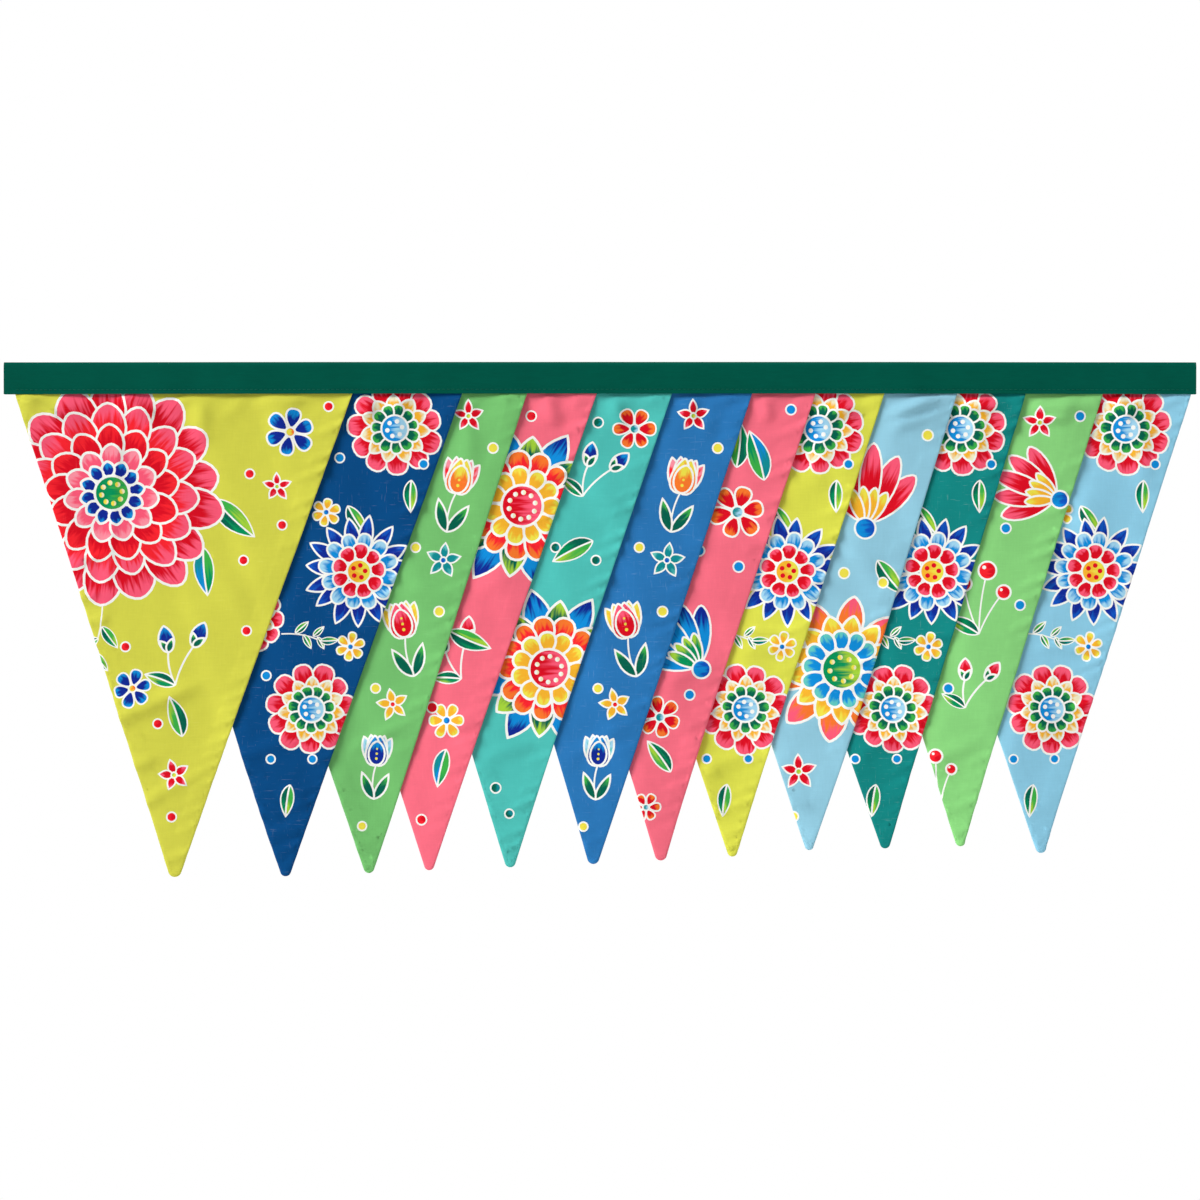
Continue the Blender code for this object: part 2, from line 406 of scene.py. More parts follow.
FLOWERS = {
    "dahlia": (
        (
            Ring(17, 0.50, 1.00, 0.34, 0.60, 0.56, ("crimson", "coral")),
            Ring(15, 0.36, 0.80, 0.30, 0.60, 0.58, ("scarlet", "coral")),
            Ring(13, 0.26, 0.61, 0.26, 0.60, 0.60, ("crimson", "scarlet")),
            Ring(11, 0.18, 0.43, 0.20, 0.65, 0.60, ("coral", "rose")),
            Ring(12, 0.14, 0.29, 0.12, 0.70, 0.70, ("navy", "azure")),
        ),
        Eye(0.155, ("emerald", "leaf"), 8, 0.60, 0.15, ("yellow", "cream")),
    ),
    "gerbera": (
        (
            Ring(11, 0.36, 1.00, 0.47, 0.70, 0.40, ("crimson", "coral")),
            Ring(11, 0.30, 0.73, 0.30, 0.70, 0.75, ("amber", "cream")),
            Ring(11, 0.20, 0.54, 0.25, 0.70, 0.40, ("pine", "leaf")),
        ),
        Eye(0.29, ("azure", "sky"), 6, 0.56, 0.17, ("white", "white")),
    ),
    "aster": (
        (
            Ring(15, 0.38, 1.00, 0.27, 0.60, 0.85, ("navy", "blue")),
            Ring(12, 0.30, 0.72, 0.27, 0.70, 0.45, ("azure", "sky")),
            Ring(9, 0.20, 0.50, 0.28, 0.70, 0.45, ("crimson", "coral")),
        ),
        Eye(0.22, ("amber", "yellow"), 5, 0.52, 0.20, ("crimson", "crimson")),
    ),
    "lily": (
        (
            Ring(8, 0.36, 1.00, 0.34, 0.70, 0.95, ("azure", "navy")),
            Ring(8, 0.34, 0.86, 0.32, 0.60, 0.85, ("pine", "lime")),
            Ring(13, 0.28, 0.66, 0.26, 0.70, 0.45, ("scarlet", "orange")),
            Ring(11, 0.20, 0.47, 0.21, 0.70, 0.45, ("amber", "yellow")),
        ),
        Eye(0.25, ("crimson", "coral"), 10, 0.64, 0.12, ("white", "cream")),
    ),
    "sunburst": (
        (
            Ring(10, 0.38, 1.00, 0.36, 0.60, 0.72, ("orange", "coral")),
            Ring(13, 0.32, 0.74, 0.27, 0.60, 0.75, ("amber", "yellow")),
            Ring(13, 0.24, 0.54, 0.22, 0.70, 0.45, ("azure", "aqua")),
        ),
        Eye(0.27, ("emerald", "lime"), 8, 0.60, 0.13, ("yellow", "cream")),
    ),
    "blossom_blue": plain_flower(BLOSSOM, ("navy", "azure"), 0.20, ("yellow", "orange")),
    "blossom_red": plain_flower(BLOSSOM, ("crimson", "orange"), 0.22, ("teal", "sky")),
    "blossom_yellow": plain_flower(SLIM_BLOSSOM, ("amber", "yellow"), 0.22, ("azure", "blue")),
    "star_red": plain_flower(STAR, ("crimson", "coral"), 0.18, ("lime", "yellow")),
    "star_yellow": plain_flower(STAR, ("amber", "yellow"), 0.18, ("crimson", "scarlet")),
    "star_aqua": plain_flower(STAR, ("teal", "aqua"), 0.18, ("blue", "azure")),
}


def draw_flower(shapes, kind, at, radius, turn, hand):
    """Every petal differs a little in length, width and angle, as brush strokes do."""
    rings, eye = FLOWERS[kind]
    line = WIDE_LINE if radius > 40 else LINE if radius > 13 else FINE_LINE
    for place, ring in enumerate(rings):
        for k in range(ring.count):
            angle = turn + math.tau * (k + 0.5 * (place % 2)) / ring.count + hand.normal(0, 0.018)
            length = (ring.reach - ring.start) * radius * (1 + hand.normal(0, 0.035))
            width = ring.width * radius * (1 + hand.normal(0, 0.04))
            petal = (ring.start * radius, length, width, ring.root, ring.nose)
            draw_petal(shapes, at, angle, *petal, ring.inks, line=line)
    draw_disc(shapes, at, eye.radius * radius, eye.inks, line)
    for k in range(eye.seeds):
        angle = turn + math.tau * k / eye.seeds
        away = eye.seed_ring * eye.radius * radius
        seed = at + away * compass(angle)[0]
        draw_disc(shapes, seed, eye.seed_size * eye.radius * radius, eye.seed_inks, 0)


def draw_leaf(shapes, at, length, turn, inks_left, inks_right, bend=0.12):
    """A leaf in two halves, each in its own inks, parted by the bare white midrib."""
    line = LINE if length > 18 else 0.9
    whole = petal_outline(length, 0.42 * length, 0.75, 0.95, bend, 13)
    count = len(whole) // 2 + 1
    share = (1 - np.cos(np.linspace(0, math.pi, count))) / 2
    midrib = np.stack([share * length, bend * length * share**2], axis=1)
    tip = at + turned(np.array([[length, bend * length]]), turn)[0]
    draw(shapes, at + turned(whole, turn), at, tip, ("white", "white"), line / 2)
    lower = np.concatenate([whole[:count], midrib[-2:0:-1]])
    upper = np.concatenate([midrib, whole[count:]])
    for half, inks in ((lower, inks_right), (upper, inks_left)):
        inner = grown(half if signed_area(half) > 0 else half[::-1], -0.45 * line)
        draw(shapes, at + turned(inner, turn), at, tip, inks, 0)


def draw_sprig(shapes, at, length, turn):
    """A stem with paired leaves."""
    ahead, side = compass(turn)
    end = at + ahead * length * 0.72
    draw_stem(shapes, at, at + ahead * length * 0.4 + side * length * 0.10, end, 0.9)
    for share, way in ((0.25, 1), (0.40, -1), (0.58, 1), (0.66, -1)):
        spot = at + ahead * length * share + side * length * 0.06
        size = length * (0.36 - 0.16 * share)
        draw_leaf(shapes, spot, size, turn + way * 0.85, ("leaf", "lime"), ("pine", "emerald"), 0.05 * way)
    draw_leaf(shapes, end, length * 0.34, turn + 0.1, ("emerald", "lime"), ("pine", "teal"))


def draw_tulip(shapes, at, size, turn, outer, inner):
    """A cup of three petals with a frilled heart, on a stem with two long leaves."""
    ahead, side = compass(turn)
    foot = at - ahead * size * 0.62
    draw_stem(shapes, foot, at - ahead * size * 0.3 + side * size * 0.08, at, 1.1)
    blade = (0, size * 0.52, size * 0.17, 0.8, 0.95)
    for way in (-1, 1):
        draw_petal(shapes, foot, turn + way * 0.62, *blade, ("pine", "leaf"), way * -0.14)
    for way in (-0.62, 0.62, -0.30, 0.30):
        draw_petal(shapes, at, turn + way, 0, size * 0.56, size * 0.22, 0.7, 0.8, inner, way * -0.25)
    for way in (-1, 1):
        draw_petal(shapes, at, turn + way * 0.50, 0, size * 0.50, size * 0.30, 0.55, 0.7, outer, way * -0.42)
    draw_petal(shapes, at, turn, 0, size * 0.44, size * 0.30, 0.5, 0.6, outer)
    for k in range(3):
        bead = at + ahead * size * (0.12 + 0.09 * k)
        draw_disc(shapes, bead, size * (0.026 - 0.004 * k), ("yellow", "yellow"), 0)


def draw_berries(shapes, at, size, turn):
    """Three berries on stalks that spread from one leaf."""
    for spread, reach, radius in ((0.42, 0.82, 0.12), (0.0, 1.0, 0.14), (-0.40, 0.76, 0.11)):
        angle = turn + spread
        way, side = compass(angle)
        berry = at + way * size * reach
        draw_stem(shapes, at, at + way * size * reach * 0.5 + side * size * 0.06, berry, 1.0)
        draw_disc(shapes, berry, size * radius, ("scarlet", "crimson"))
        glint = berry + np.array([-0.35, 0.35]) * size * radius
        draw_disc(shapes, glint, size * radius * 0.22, ("white", "white"), 0)
    draw_leaf(shapes, at, size * 0.55, turn + 1.1, ("emerald", "lime"), ("pine", "emerald"))


def draw_plume(shapes, at, size, turn, outer, inner):
    """Long overlapping petals that fan from one point."""
    for spread in (-0.66, 0.66, -0.33, 0.33, 0.0):
        length = size * (0.97 - 0.25 * abs(spread))
        draw_petal(shapes, at, turn + spread, 0.10 * size, length, 0.27 * size, 0.8, 0.62, outer)
    for spread in (-0.45, -0.15, 0.15, 0.45):
        draw_petal(shapes, at, turn + spread, 0.08 * size, 0.44 * size, 0.15 * size, 0.7, 0.6, inner)
    draw_disc(shapes, at, 0.13 * size, ("azure", "blue"))


def draw_buds(shapes, at, size, turn, inks):
    """Two closed buds in their sepals, on stems that part from one foot."""
    for spread, reach in ((0.34, 0.80), (-0.30, 1.0)):
        angle = turn + spread
        way, side = compass(angle)
        bud = at + way * size * reach * 0.62
        draw_stem(shapes, at, at + way * size * 0.3 + side * size * 0.07, bud, 1.2)
        draw_petal(shapes, bud, angle, 0, size * 0.36, size * 0.22, 0.6, 0.8, inks)
        sepal = (-0.02 * size, size * 0.20, size * 0.10, 0.7, 0.9)
        for turned_by in (0.5, -0.5):
            draw_petal(shapes, bud, angle + turned_by, *sepal, ("pine", "leaf"))
    draw_leaf(shapes, at, size * 0.46, turn + 1.25, ("emerald", "lime"), ("pine", "emerald"))


# Each motif's way of drawing and its inks.
MOTIFS = {
    "sprig": (draw_sprig,),
    "berries": (draw_berries,),
    "plume_red": (draw_plume, ("crimson", "coral"), ("amber", "yellow")),
    "plume_blue": (draw_plume, ("azure", "navy"), ("emerald", "lime")),
    "buds_blue": (draw_buds, ("navy", "azure")),
    "buds_red": (draw_buds, ("crimson", "coral")),
    "tulip_red": (draw_tulip, ("crimson", "coral"), ("amber", "yellow")),
    "tulip_blue": (draw_tulip, ("navy", "azure"), ("aqua", "sky")),
    "tulip_yellow": (draw_tulip, ("orange", "yellow"), ("scarlet", "rose")),
    "leaf": (draw_leaf, ("leaf", "lime"), ("pine", "emerald")),
    "leaf_blue": (draw_leaf, ("leaf", "emerald"), ("teal", "azure")),
}
DOTS = {
    "dot_red": ("scarlet", "crimson"),
    "dot_blue": ("azure", "azure"),
    "dot_yellow": ("yellow", "yellow"),
    "dot_pine": ("pine", "teal"),
}

# Where each motif lies on a pennant: its distance in from the right-hand edge, its drop
# below the tape, its size (a flower's radius) and its turn in degrees.
Motif = namedtuple("Motif", "kind inset drop size turn")


def dots(kind, size, *places):
    """Dots of one kind and radius, each place given as its inset and its drop."""
    return [Motif(kind, *place, size, 0) for place in places]


PRINTS = {
    "dahlia": (
        Motif("leaf", 62, 66, 34, 310),
        Motif("leaf_blue", 58, 96, 30, 268),
        Motif("sprig", 108, 132, 52, 255),
        Motif("dahlia", 128, 62, 70, 10),
        Motif("blossom_blue", 30, 24, 15, 20),
        Motif("buds_blue", 44, 182, 44, 82),
        Motif("star_red", 26, 58, 9, 20),
        Motif("blossom_blue", 70, 184, 12, 75),
        Motif("leaf", 28, 214, 26, 100),
        Motif("star_red", 24, 238, 10, 250),
        *dots("dot_red", 3.0, (12, 8), (46, 50), (14, 82), (30, 104)),
        *dots("dot_red", 3.0, (84, 158), (12, 148), (46, 206), (16, 264)),
    ),
    "aster": (
        Motif("leaf", 46, 70, 22, 296),
        Motif("leaf", 12, 54, 20, 262),
        Motif("sprig", 58, 150, 34, 350),
        Motif("aster", 24, 111, 34, 5),
        Motif("gerbera", 34, 22, 29, 12),
        Motif("gerbera", 22, 197, 28, 40),
        Motif("blossom_yellow", 58, 74, 9, 20),
        Motif("blossom_yellow", 12, 158, 9, 20),
        Motif("leaf", 18, 244, 20, 255),
        *dots("dot_blue", 3.0, (8, 44), (62, 40), (58, 176)),
        *dots("dot_blue", 2.8, (36, 228), (10, 228)),
        Motif("aster", 118, 66, 28, 15),
        Motif("gerbera", 160, 20, 24, 0),
        Motif("blossom_yellow", 88, 22, 11, 0),
        Motif("gerbera", 82, 140, 22, 30),
        Motif("leaf", 130, 12, 22, 200),
        *dots("dot_blue", 3.2, (146, 52), (96, 108)),
    ),
    "tulip": (
        Motif("star_red", 32, 14, 10, 20),
        Motif("tulip_yellow", 24, 62, 40, 76),
        Motif("star_aqua", 18, 104, 11, 10),
        Motif("tulip_red", 26, 152, 40, 102),
        Motif("star_yellow", 20, 194, 10, 30),
        Motif("tulip_blue", 18, 232, 34, 86),
        *dots("dot_yellow", 3.2, (10, 34)),
        *dots("dot_yellow", 3.0, (38, 96)),
        *dots("dot_yellow", 3.2, (10, 136)),
        *dots("dot_yellow", 3.0, (34, 184)),
        *dots("dot_yellow", 2.8, (14, 270)),
        Motif("tulip_blue", 84, 66, 42, 80),
        Motif("tulip_red", 128, 42, 42, 100),
        Motif("tulip_yellow", 168, 26, 38, 84),
        Motif("star_yellow", 146, 66, 11, 10),
        Motif("star_red", 104, 104, 11, 0),
        Motif("tulip_red", 76, 164, 36, 96),
        *dots("dot_yellow", 3.2, (110, 16), (84, 116)),
    ),
    "lily": (
        Motif("lily", 22, 70, 52, 12),
        Motif("buds_red", 22, 178, 40, 100),
        Motif("leaf", 40, 148, 28, 330),
        Motif("blossom_yellow", 22, 204, 11, 0),
        Motif("leaf_blue", 16, 222, 24, 250),
        *dots("dot_red", 3.2, (36, 14)),
        *dots("dot_red", 3.4, (34, 196)),
        *dots("dot_red", 3.2, (16, 266)),
        Motif("lily", 134, 44, 44, 20),
        Motif("blossom_yellow", 84, 18, 12, 0),
        Motif("blossom_yellow", 78, 158, 12, 0),
        *dots("dot_red", 3.2, (96, 106)),
    ),
    "lily_low": (
        Motif("buds_blue", 34, 64, 40, 60),
        Motif("leaf", 18, 92, 28, 200),
        Motif("blossom_red", 16, 22, 13, 0),
        Motif("lily", 18, 172, 50, 14),
        *dots("dot_pine", 3.2, (40, 18)),
        *dots("dot_pine", 3.0, (12, 104), (40, 96)),
        *dots("dot_pine", 3.2, (26, 246)),
        *dots("dot_pine", 2.8, (12, 262)),
        Motif("lily", 150, 32, 44, 0),
        Motif("blossom_red", 92, 58, 13, 0),
        *dots("dot_pine", 3.2, (96, 20), (108, 88)),
    ),
    "blossom": (
        Motif("leaf", 34, 46, 28, 78),
        Motif("leaf_blue", 14, 54, 32, 100),
        Motif("blossom_red", 24, 74, 17, 10),
        Motif("plume_blue", 14, 172, 44, 128),
        Motif("blossom_red", 30, 202, 13, 40),
        Motif("leaf", 12, 236, 24, 120),
        Motif("blossom_red", 20, 258, 9, 0),
        *dots("dot_blue", 3.2, (12, 10)),
        *dots("dot_blue", 3.4, (40, 98), (12, 108)),
        *dots("dot_blue", 3.2, (16, 188)),
        Motif("blossom_red", 92, 40, 17, 0),
        Motif("plume_red", 140, 40, 40, 120),
        Motif("blossom_red", 100, 124, 16, 0),
        Motif("leaf_blue", 80, 86, 34, 200),
        Motif("leaf", 168, 18, 26, 60),
        *dots("dot_blue", 3.4, (116, 84)),
    ),
    "sunburst": (
        Motif("plume_red", 30, 84, 50, 84),
        Motif("leaf", 16, 104, 26, 300),
        Motif("sunburst", 16, 172, 46, 8),
        Motif("star_red", 22, 236, 11, 20),
        *dots("dot_yellow", 3.4, (34, 112), (10, 26)),
        *dots("dot_yellow", 3.2, (8, 118)),
        *dots("dot_yellow", 3.0, (16, 264)),
        Motif("sunburst", 136, 36, 46, 20),
        Motif("blossom_yellow", 82, 22, 12, 0),
        *dots("dot_yellow", 3.2, (96, 100)),
    ),
    "berries": (
        Motif("plume_red", 6, 66, 42, 158),
        Motif("berries", 30, 150, 40, 82),
        Motif("buds_red", 24, 196, 36, 70),
        Motif("berries", 20, 256, 30, 96),
        Motif("star_red", 34, 18, 10, 18),
        *dots("dot_blue", 3.2, (10, 14), (34, 84), (10, 132), (38, 184)),
        Motif("berries", 98, 60, 42, 100),
        Motif("plume_red", 146, 30, 36, 200),
        Motif("star_red", 110, 110, 12, 0),
        Motif("berries", 80, 150, 34, 140),
        *dots("dot_blue", 3.2, (124, 82)),
    ),
}


def printed_shapes(cut, print_name, hand):
    """The pennant's print, in millimetres, from the lowest shape to the topmost."""
    shapes = []
    for motif in PRINTS[print_name]:
        z = tape_edge / MM - motif.drop
        x = float(side_x(cut, cut.right, z * MM)) / MM - motif.inset
        at = np.array([x, z])
        turn = math.radians(motif.turn)
        if motif.kind in FLOWERS:
            draw_flower(shapes, motif.kind, at, motif.size, turn, hand)
        elif motif.kind in DOTS:
            draw_disc(shapes, at, motif.size, DOTS[motif.kind], FINE_LINE)
        else:
            draw_motif, *inks = MOTIFS[motif.kind]
            draw_motif(shapes, at, motif.size, turn, *inks)
    return shapes


# Each pennant as it was sewn: its ground colour and its print, how far its tip leans
# forward, how far its two sides bow outwards low down, and how round its point is.
Pennant = namedtuple("Pennant", "ground print lean left_bow right_bow tip_radius")
PENNANTS = (
    Pennant("D9D84E", "dahlia", 3.0, 0.3, 0.8, 4.2),
    Pennant("034B86", "aster", -1.5, -1.5, 0.4, 3.4),
    Pennant("78C572", "tulip", 2.5, 0.4, -0.6, 3.4),
    Pennant("FC7085", "lily", 4.0, -0.5, 0.5, 3.2),
    Pennant("50C3BA", "lily_low", -1.0, 0.4, 0.8, 3.4),
    Pennant("2B78B9", "tulip", 2.0, 1.0, -0.4, 3.8),
    Pennant("FC7186", "blossom", 4.5, 1.2, 0.9, 3.8),
    Pennant("E0E250", "aster", 1.0, -0.4, 0.4, 3.2),
    Pennant("94CCE1", "sunburst", 3.5, 0.5, -2.2, 2.8),
    Pennant("118985", "aster", -1.0, -0.3, 0.6, 3.2),
    Pennant("8BD67F", "berries", 3.0, 0.6, 0.3, 3.0),
    Pennant("8FCEE8", "aster", 4.0, 0.9, -0.5, 3.4),
)

# Sizes of the cloth and its net, in millimetres.
SIDE_STEP = 2.6  # spacing of the points along the edges
NET_STEP = 2.8  # spacing of the points between them
NET_ROW = 0.87 * NET_STEP
NET_UNEVEN = 0.2
SEAM_RINGS = (0.12, 0.4, 0.9, 1.5, 2.1, 2.7, 3.4)  # rows of points that round the turned edge
EDGE_ROUND = 2.2
GROOVE = 0.11  # the cloth is pressed a little thinner along the line of its seam
GROOVE_FROM_EDGE = 2.3
GROOVE_WIDTH = 0.5
SEAM_WIDTH = 10.0  # the seam allowance inside
SEAM_STEP = 1.4
BODY_THICK = 0.66
SEAM_THICK = 0.98
TIP_THICK = 1.7
TIP_BULK = 16  # the turned-in seams bulk up over this height above the point
TIP_STEPS = 14
HEAD_ROWS = 6
NEARNESS = 1e-4  # points closer than this become one
SEAM_GATHER = 0.62
SEAM_WAVES = (1.47, 2.23, 4.1)
HEAD_GATHER = 0.62
GATHER_REACH = 11  # gathers fade over this distance from the seams and the tape
HANDLED = 0.19
TUCK = 0.5  # cloth is free to rise from this far outside the neighbour's edge
FREE_OVER = 15
CLEAR_OF_TAPE = 4


def side_line(corner, centre, radius, way, bow):
    """A long side from the tape's edge to where it touches the round tip, with its low bow."""
    to_centre = centre - corner
    away = np.linalg.norm(to_centre)
    length = math.sqrt(away**2 - radius**2)
    heading = turned(to_centre / away, way * math.asin(radius / away))
    outward = way * np.array([-heading[1], heading[0]])
    share = np.linspace(0, 1, round(length / SIDE_STEP) + 1)[:, None]
    return corner + share * length * heading - outward * bow * PEAK * share**2 * (1 - share)


def outline_of(cut, pennant):
    """The finished pennant's outline, anticlockwise from its top left corner."""
    radius = pennant.tip_radius
    centre = np.array([cut.tip_x / MM, cut.tip_z / MM + radius])
    top = tape_edge / MM
    left = side_line(np.array([cut.left / MM, top]), centre, radius, -1, pennant.left_bow)
    right = side_line(np.array([cut.right / MM, top]), centre, radius, 1, pennant.right_bow)
    start, end = (math.atan2(*(side[-1] - centre)[::-1]) % math.tau for side in (left, right))
    angles = np.linspace(start, end, TIP_STEPS + 1)[1:-1]
    tip = centre + radius * np.stack([np.cos(angles), np.sin(angles)], axis=1)
    count = round((cut.right - cut.left) / MM / SIDE_STEP)
    across = np.linspace(cut.right, cut.left, count + 1)
    head = np.stack([across, np.full_like(across, cut.head)], axis=1) / MM
    rise = np.linspace(tape_edge, cut.head, HEAD_ROWS)[1:-1, None] / MM
    right_rise = np.hstack([np.full_like(rise, cut.right / MM), rise])
    left_rise = np.hstack([np.full_like(rise, cut.left / MM), rise])[::-1]
    return np.concatenate([left, tip, right[::-1], right_rise, head, left_rise])


def distance_to(outline, points):
    """How far each point lies from the outline."""
    ends = np.roll(outline, -1, axis=0)
    ahead = ends - outline
    square = np.maximum((ahead**2).sum(axis=1), 1e-12)
    nearest = np.full(len(points), 1e9)
    for start, way, size in zip(outline, ahead, square):
        share = np.clip((points - start) @ way / size, 0, 1)
        away = points - start - share[:, None] * way
        nearest = np.minimum(nearest, (away**2).sum(axis=1))
    return np.sqrt(nearest)


def net_points(outline, hand):
    """A triangular net of points over the outline's box, a little uneven."""
    low, high = outline.min(axis=0), outline.max(axis=0)
    rows = np.arange(low[1], high[1], NET_ROW)
    points = []
    for number, z in enumerate(rows):
        x = np.arange(low[0] + (number % 2) * NET_STEP / 2, high[0], NET_STEP)
        points.append(np.stack([x, np.full_like(x, z)], axis=1))
    points = np.concatenate(points)
    return points + hand.uniform(-NET_UNEVEN, NET_UNEVEN, points.shape)


def covers(outline, points):
    """Which points the outline winds round anticlockwise."""
    x, z = points[:, 0, None], points[:, 1, None]
    (x_from, z_from), (x_to, z_to) = outline.T, np.roll(outline, -1, axis=0).T
    side = (x_to - x_from) * (z - z_from) - (x - x_from) * (z_to - z_from)
    rising = (z_from <= z) & (z_to > z) & (side > 0)
    falling = (z_from > z) & (z_to <= z) & (side < 0)
    return rising.sum(axis=1) > falling.sum(axis=1)


def cut_cloth(outline, shapes, hand):
    """Triangles that follow the outline, its seam and every printed line.

    It returns the points, the triangles and, for each triangle, the number of the topmost
    shape on it, where 0 is the bare ground.
    """
    low, high = outline.min(axis=0), outline.max(axis=0)
    loops = [outline] + [grown(outline, -inset) for inset in SEAM_RINGS]
    printed = [
        (number, shape.outline)
        for number, shape in enumerate(shapes, 1)
        if (shape.outline.max(axis=0) > low).all() and (shape.outline.min(axis=0) < high).all()
    ]
    loops += [loop for number, loop in printed]
    edges = []
    start = 0
    for loop in loops:
        edges += [(start + k, start + (k + 1) % len(loop)) for k in range(len(loop))]
        start += len(loop)
    allowance = [grown(outline, -inset) for inset in (SEAM_WIDTH, SEAM_WIDTH + SEAM_STEP)]
    allowance = [row[distance_to(outline, row) > SEAM_WIDTH - 0.1] for row in allowance]
    points = np.concatenate(loops + allowance + [net_points(outline, hand)])
    made = delaunay_2d_cdt([Vector(point) for point in points], edges, [], 0, NEARNESS, False)
    plane = np.array([corner[:] for corner in made[0]])
    triangles = np.array(made[2])
    centres = plane[triangles].mean(axis=1)
    triangles, centres = (rows[covers(outline, centres)] for rows in (triangles, centres))
    top = np.zeros(len(triangles), int)
    for number, loop in printed:
        near = np.flatnonzero(((centres > loop.min(axis=0)) & (centres < loop.max(axis=0))).all(axis=1))
        top[near[covers(loop, centres[near])]] = number
    used, triangles = np.unique(triangles, return_inverse=True)
    return plane[used], triangles.reshape(-1, 3), top


def rim_points(triangles, count):
    """Which points lie on the cloth's edge: those on a side that only one triangle has."""
    sides = np.concatenate([triangles[:, [0, 1]], triangles[:, [1, 2]], triangles[:, [2, 0]]])
    sides, times = np.unique(np.sort(sides, axis=1), axis=0, return_counts=True)
    rim = np.zeros(count, bool)
    rim[sides[times == 1].ravel()] = True
    return rim


def thickness(inside, z, cut):
    """Two plies: round at the turned edge, full over the seam allowance, thinner beyond."""
    edge = np.sqrt(1 - (1 - np.clip(inside / EDGE_ROUND, 0, 1)) ** 2)
    body = SEAM_THICK - (SEAM_THICK - BODY_THICK) * smooth((inside - SEAM_WIDTH) / SEAM_STEP)
    tip = (TIP_THICK - SEAM_THICK) * smooth(1 - (z - cut.tip_z) / (TIP_BULK * MM))
    groove = GROOVE * np.exp(-(((inside - GROOVE_FROM_EDGE) / GROOVE_WIDTH) ** 2))
    return (edge * (body + tip) - groove) * MM


# Creases are listed one by one: a soft ridge from one point to another on the pennant, each
# given as its distance in from the right-hand edge and its drop below the tape. A row is
# inset, drop, inset at the other end, drop there, height and half width, in millimetres.
CREASES = {
    1: (
        (206, 3, 178, 14, 3.2, 4), (142, 3, 118, 15, 3.5, 4.5), (142, 8, 105, 135, 1.0, 3.5),
        (92, 6, 84, 30, 2.2, 6), (44, 2, 34, 30, 1.4, 7), (136, 106, 118, 100, 1.8, 3),
        (126, 128, 112, 124, 1.4, 3), (116, 144, 102, 140, 1.4, 3), (108, 174, 94, 168, 1.6, 3),
        (96, 214, 34, 184, 3.0, 5), (92, 196, 60, 188, 1.8, 4), (68, 240, 40, 228, 1.8, 4),
        (52, 262, 30, 254, 1.6, 3), (60, 96, 16, 136, 1.4, 9), (34, 252, 8, 238, 1.4, 4),
        (12, 292, -4, 286, 1.2, 3),
    ),
    2: (
        (62, 2, 52, 14, 3.0, 4.5), (40, 2, 30, 30, 1.8, 6), (60, 148, 2, 150, 1.3, 2.5),
        (66, 232, 26, 214, 1.6, 5), (20, 246, 6, 252, 1.4, 4), (30, 278, 6, 270, 1.4, 3.5),
    ),
    3: (
        (46, 4, 30, 9, 2.7, 3.5), (34, 14, 20, 44, 1.6, 6), (30, 120, 8, 128, 1.3, 5),
        (36, 222, 8, 206, 1.5, 4),
    ),
    4: (
        (30, 2, 20, 18, 2.7, 5), (44, 40, 12, 60, 1.3, 6), (44, 128, 10, 112, 1.2, 6),
        (38, 214, 6, 202, 1.5, 5),
    ),
    5: (
        (36, 4, 24, 20, 2.7, 4.5), (30, 62, 8, 70, 1.3, 5), (38, 226, 8, 216, 1.4, 5),
    ),
    6: (
        (46, 3, 30, 14, 3.0, 4.5), (24, 2, 20, 26, 1.6, 6), (40, 140, 2, 142, 1.2, 2.5),
        (36, 226, 8, 206, 1.5, 5),
    ),
    7: (
        (34, 2, 24, 16, 2.7, 4.5), (30, 84, 6, 96, 1.5, 6), (40, 182, 6, 168, 1.4, 5),
    ),
    8: (
        (46, 14, 14, 9, 3.0, 4.5), (46, 147, 2, 149, 1.8, 2.5), (46, 161, 8, 157, 1.5, 5),
        (30, 26, 22, 60, 1.2, 6), (36, 236, 8, 222, 1.4, 5),
    ),
    9: (
        (44, 15, 10, 3, 3.8, 3.5), (34, 21, 8, 13, 2.2, 3.5), (30, 250, 8, 258, 1.4, 4),
        (40, 96, 14, 108, 1.3, 6),
    ),
    10: (
        (42, 9, 12, 7, 3.0, 4), (24, 14, 18, 44, 1.4, 6), (40, 150, 2, 152, 1.3, 2.5),
        (34, 224, 10, 212, 1.4, 5),
    ),
    11: (
        (46, 9, 12, 8, 3.0, 3), (40, 16, 18, 15, 2.4, 3), (44, 44, 10, 60, 1.4, 8),
        (32, 228, 8, 216, 1.4, 5),
    ),
    12: (
        (48, 4, 34, 12, 3.0, 4.5), (64, 60, 20, 96, 2.2, 10), (26, 16, 12, 56, 1.6, 6),
        (44, 158, 4, 160, 1.3, 2.5), (54, 192, 14, 212, 1.8, 7),
    ),
}


def crease_rise(number, cut, plane):
    """The creases' height at each point of the cloth, all on its front side."""
    rise = np.zeros(len(plane))
    for inset, drop, to_inset, to_drop, height, width in CREASES[number]:
        ends = []
        for place, down in ((inset, drop), (to_inset, to_drop)):
            z = tape_edge - down * MM
            ends.append(np.array([side_x(cut, cut.right, z) / MM - place, z / MM]))
        way = ends[1] - ends[0]
        size = np.linalg.norm(way)
        along = (plane - ends[0]) @ way / size**2
        across = ((plane - ends[0]) @ np.array([-way[1], way[0]])) / size
        fade = smooth((along + 0.25) / 0.5) * smooth((1.25 - along) / 0.5)
        rise += height * fade * np.exp(-((across / width) ** 2))
    return rise


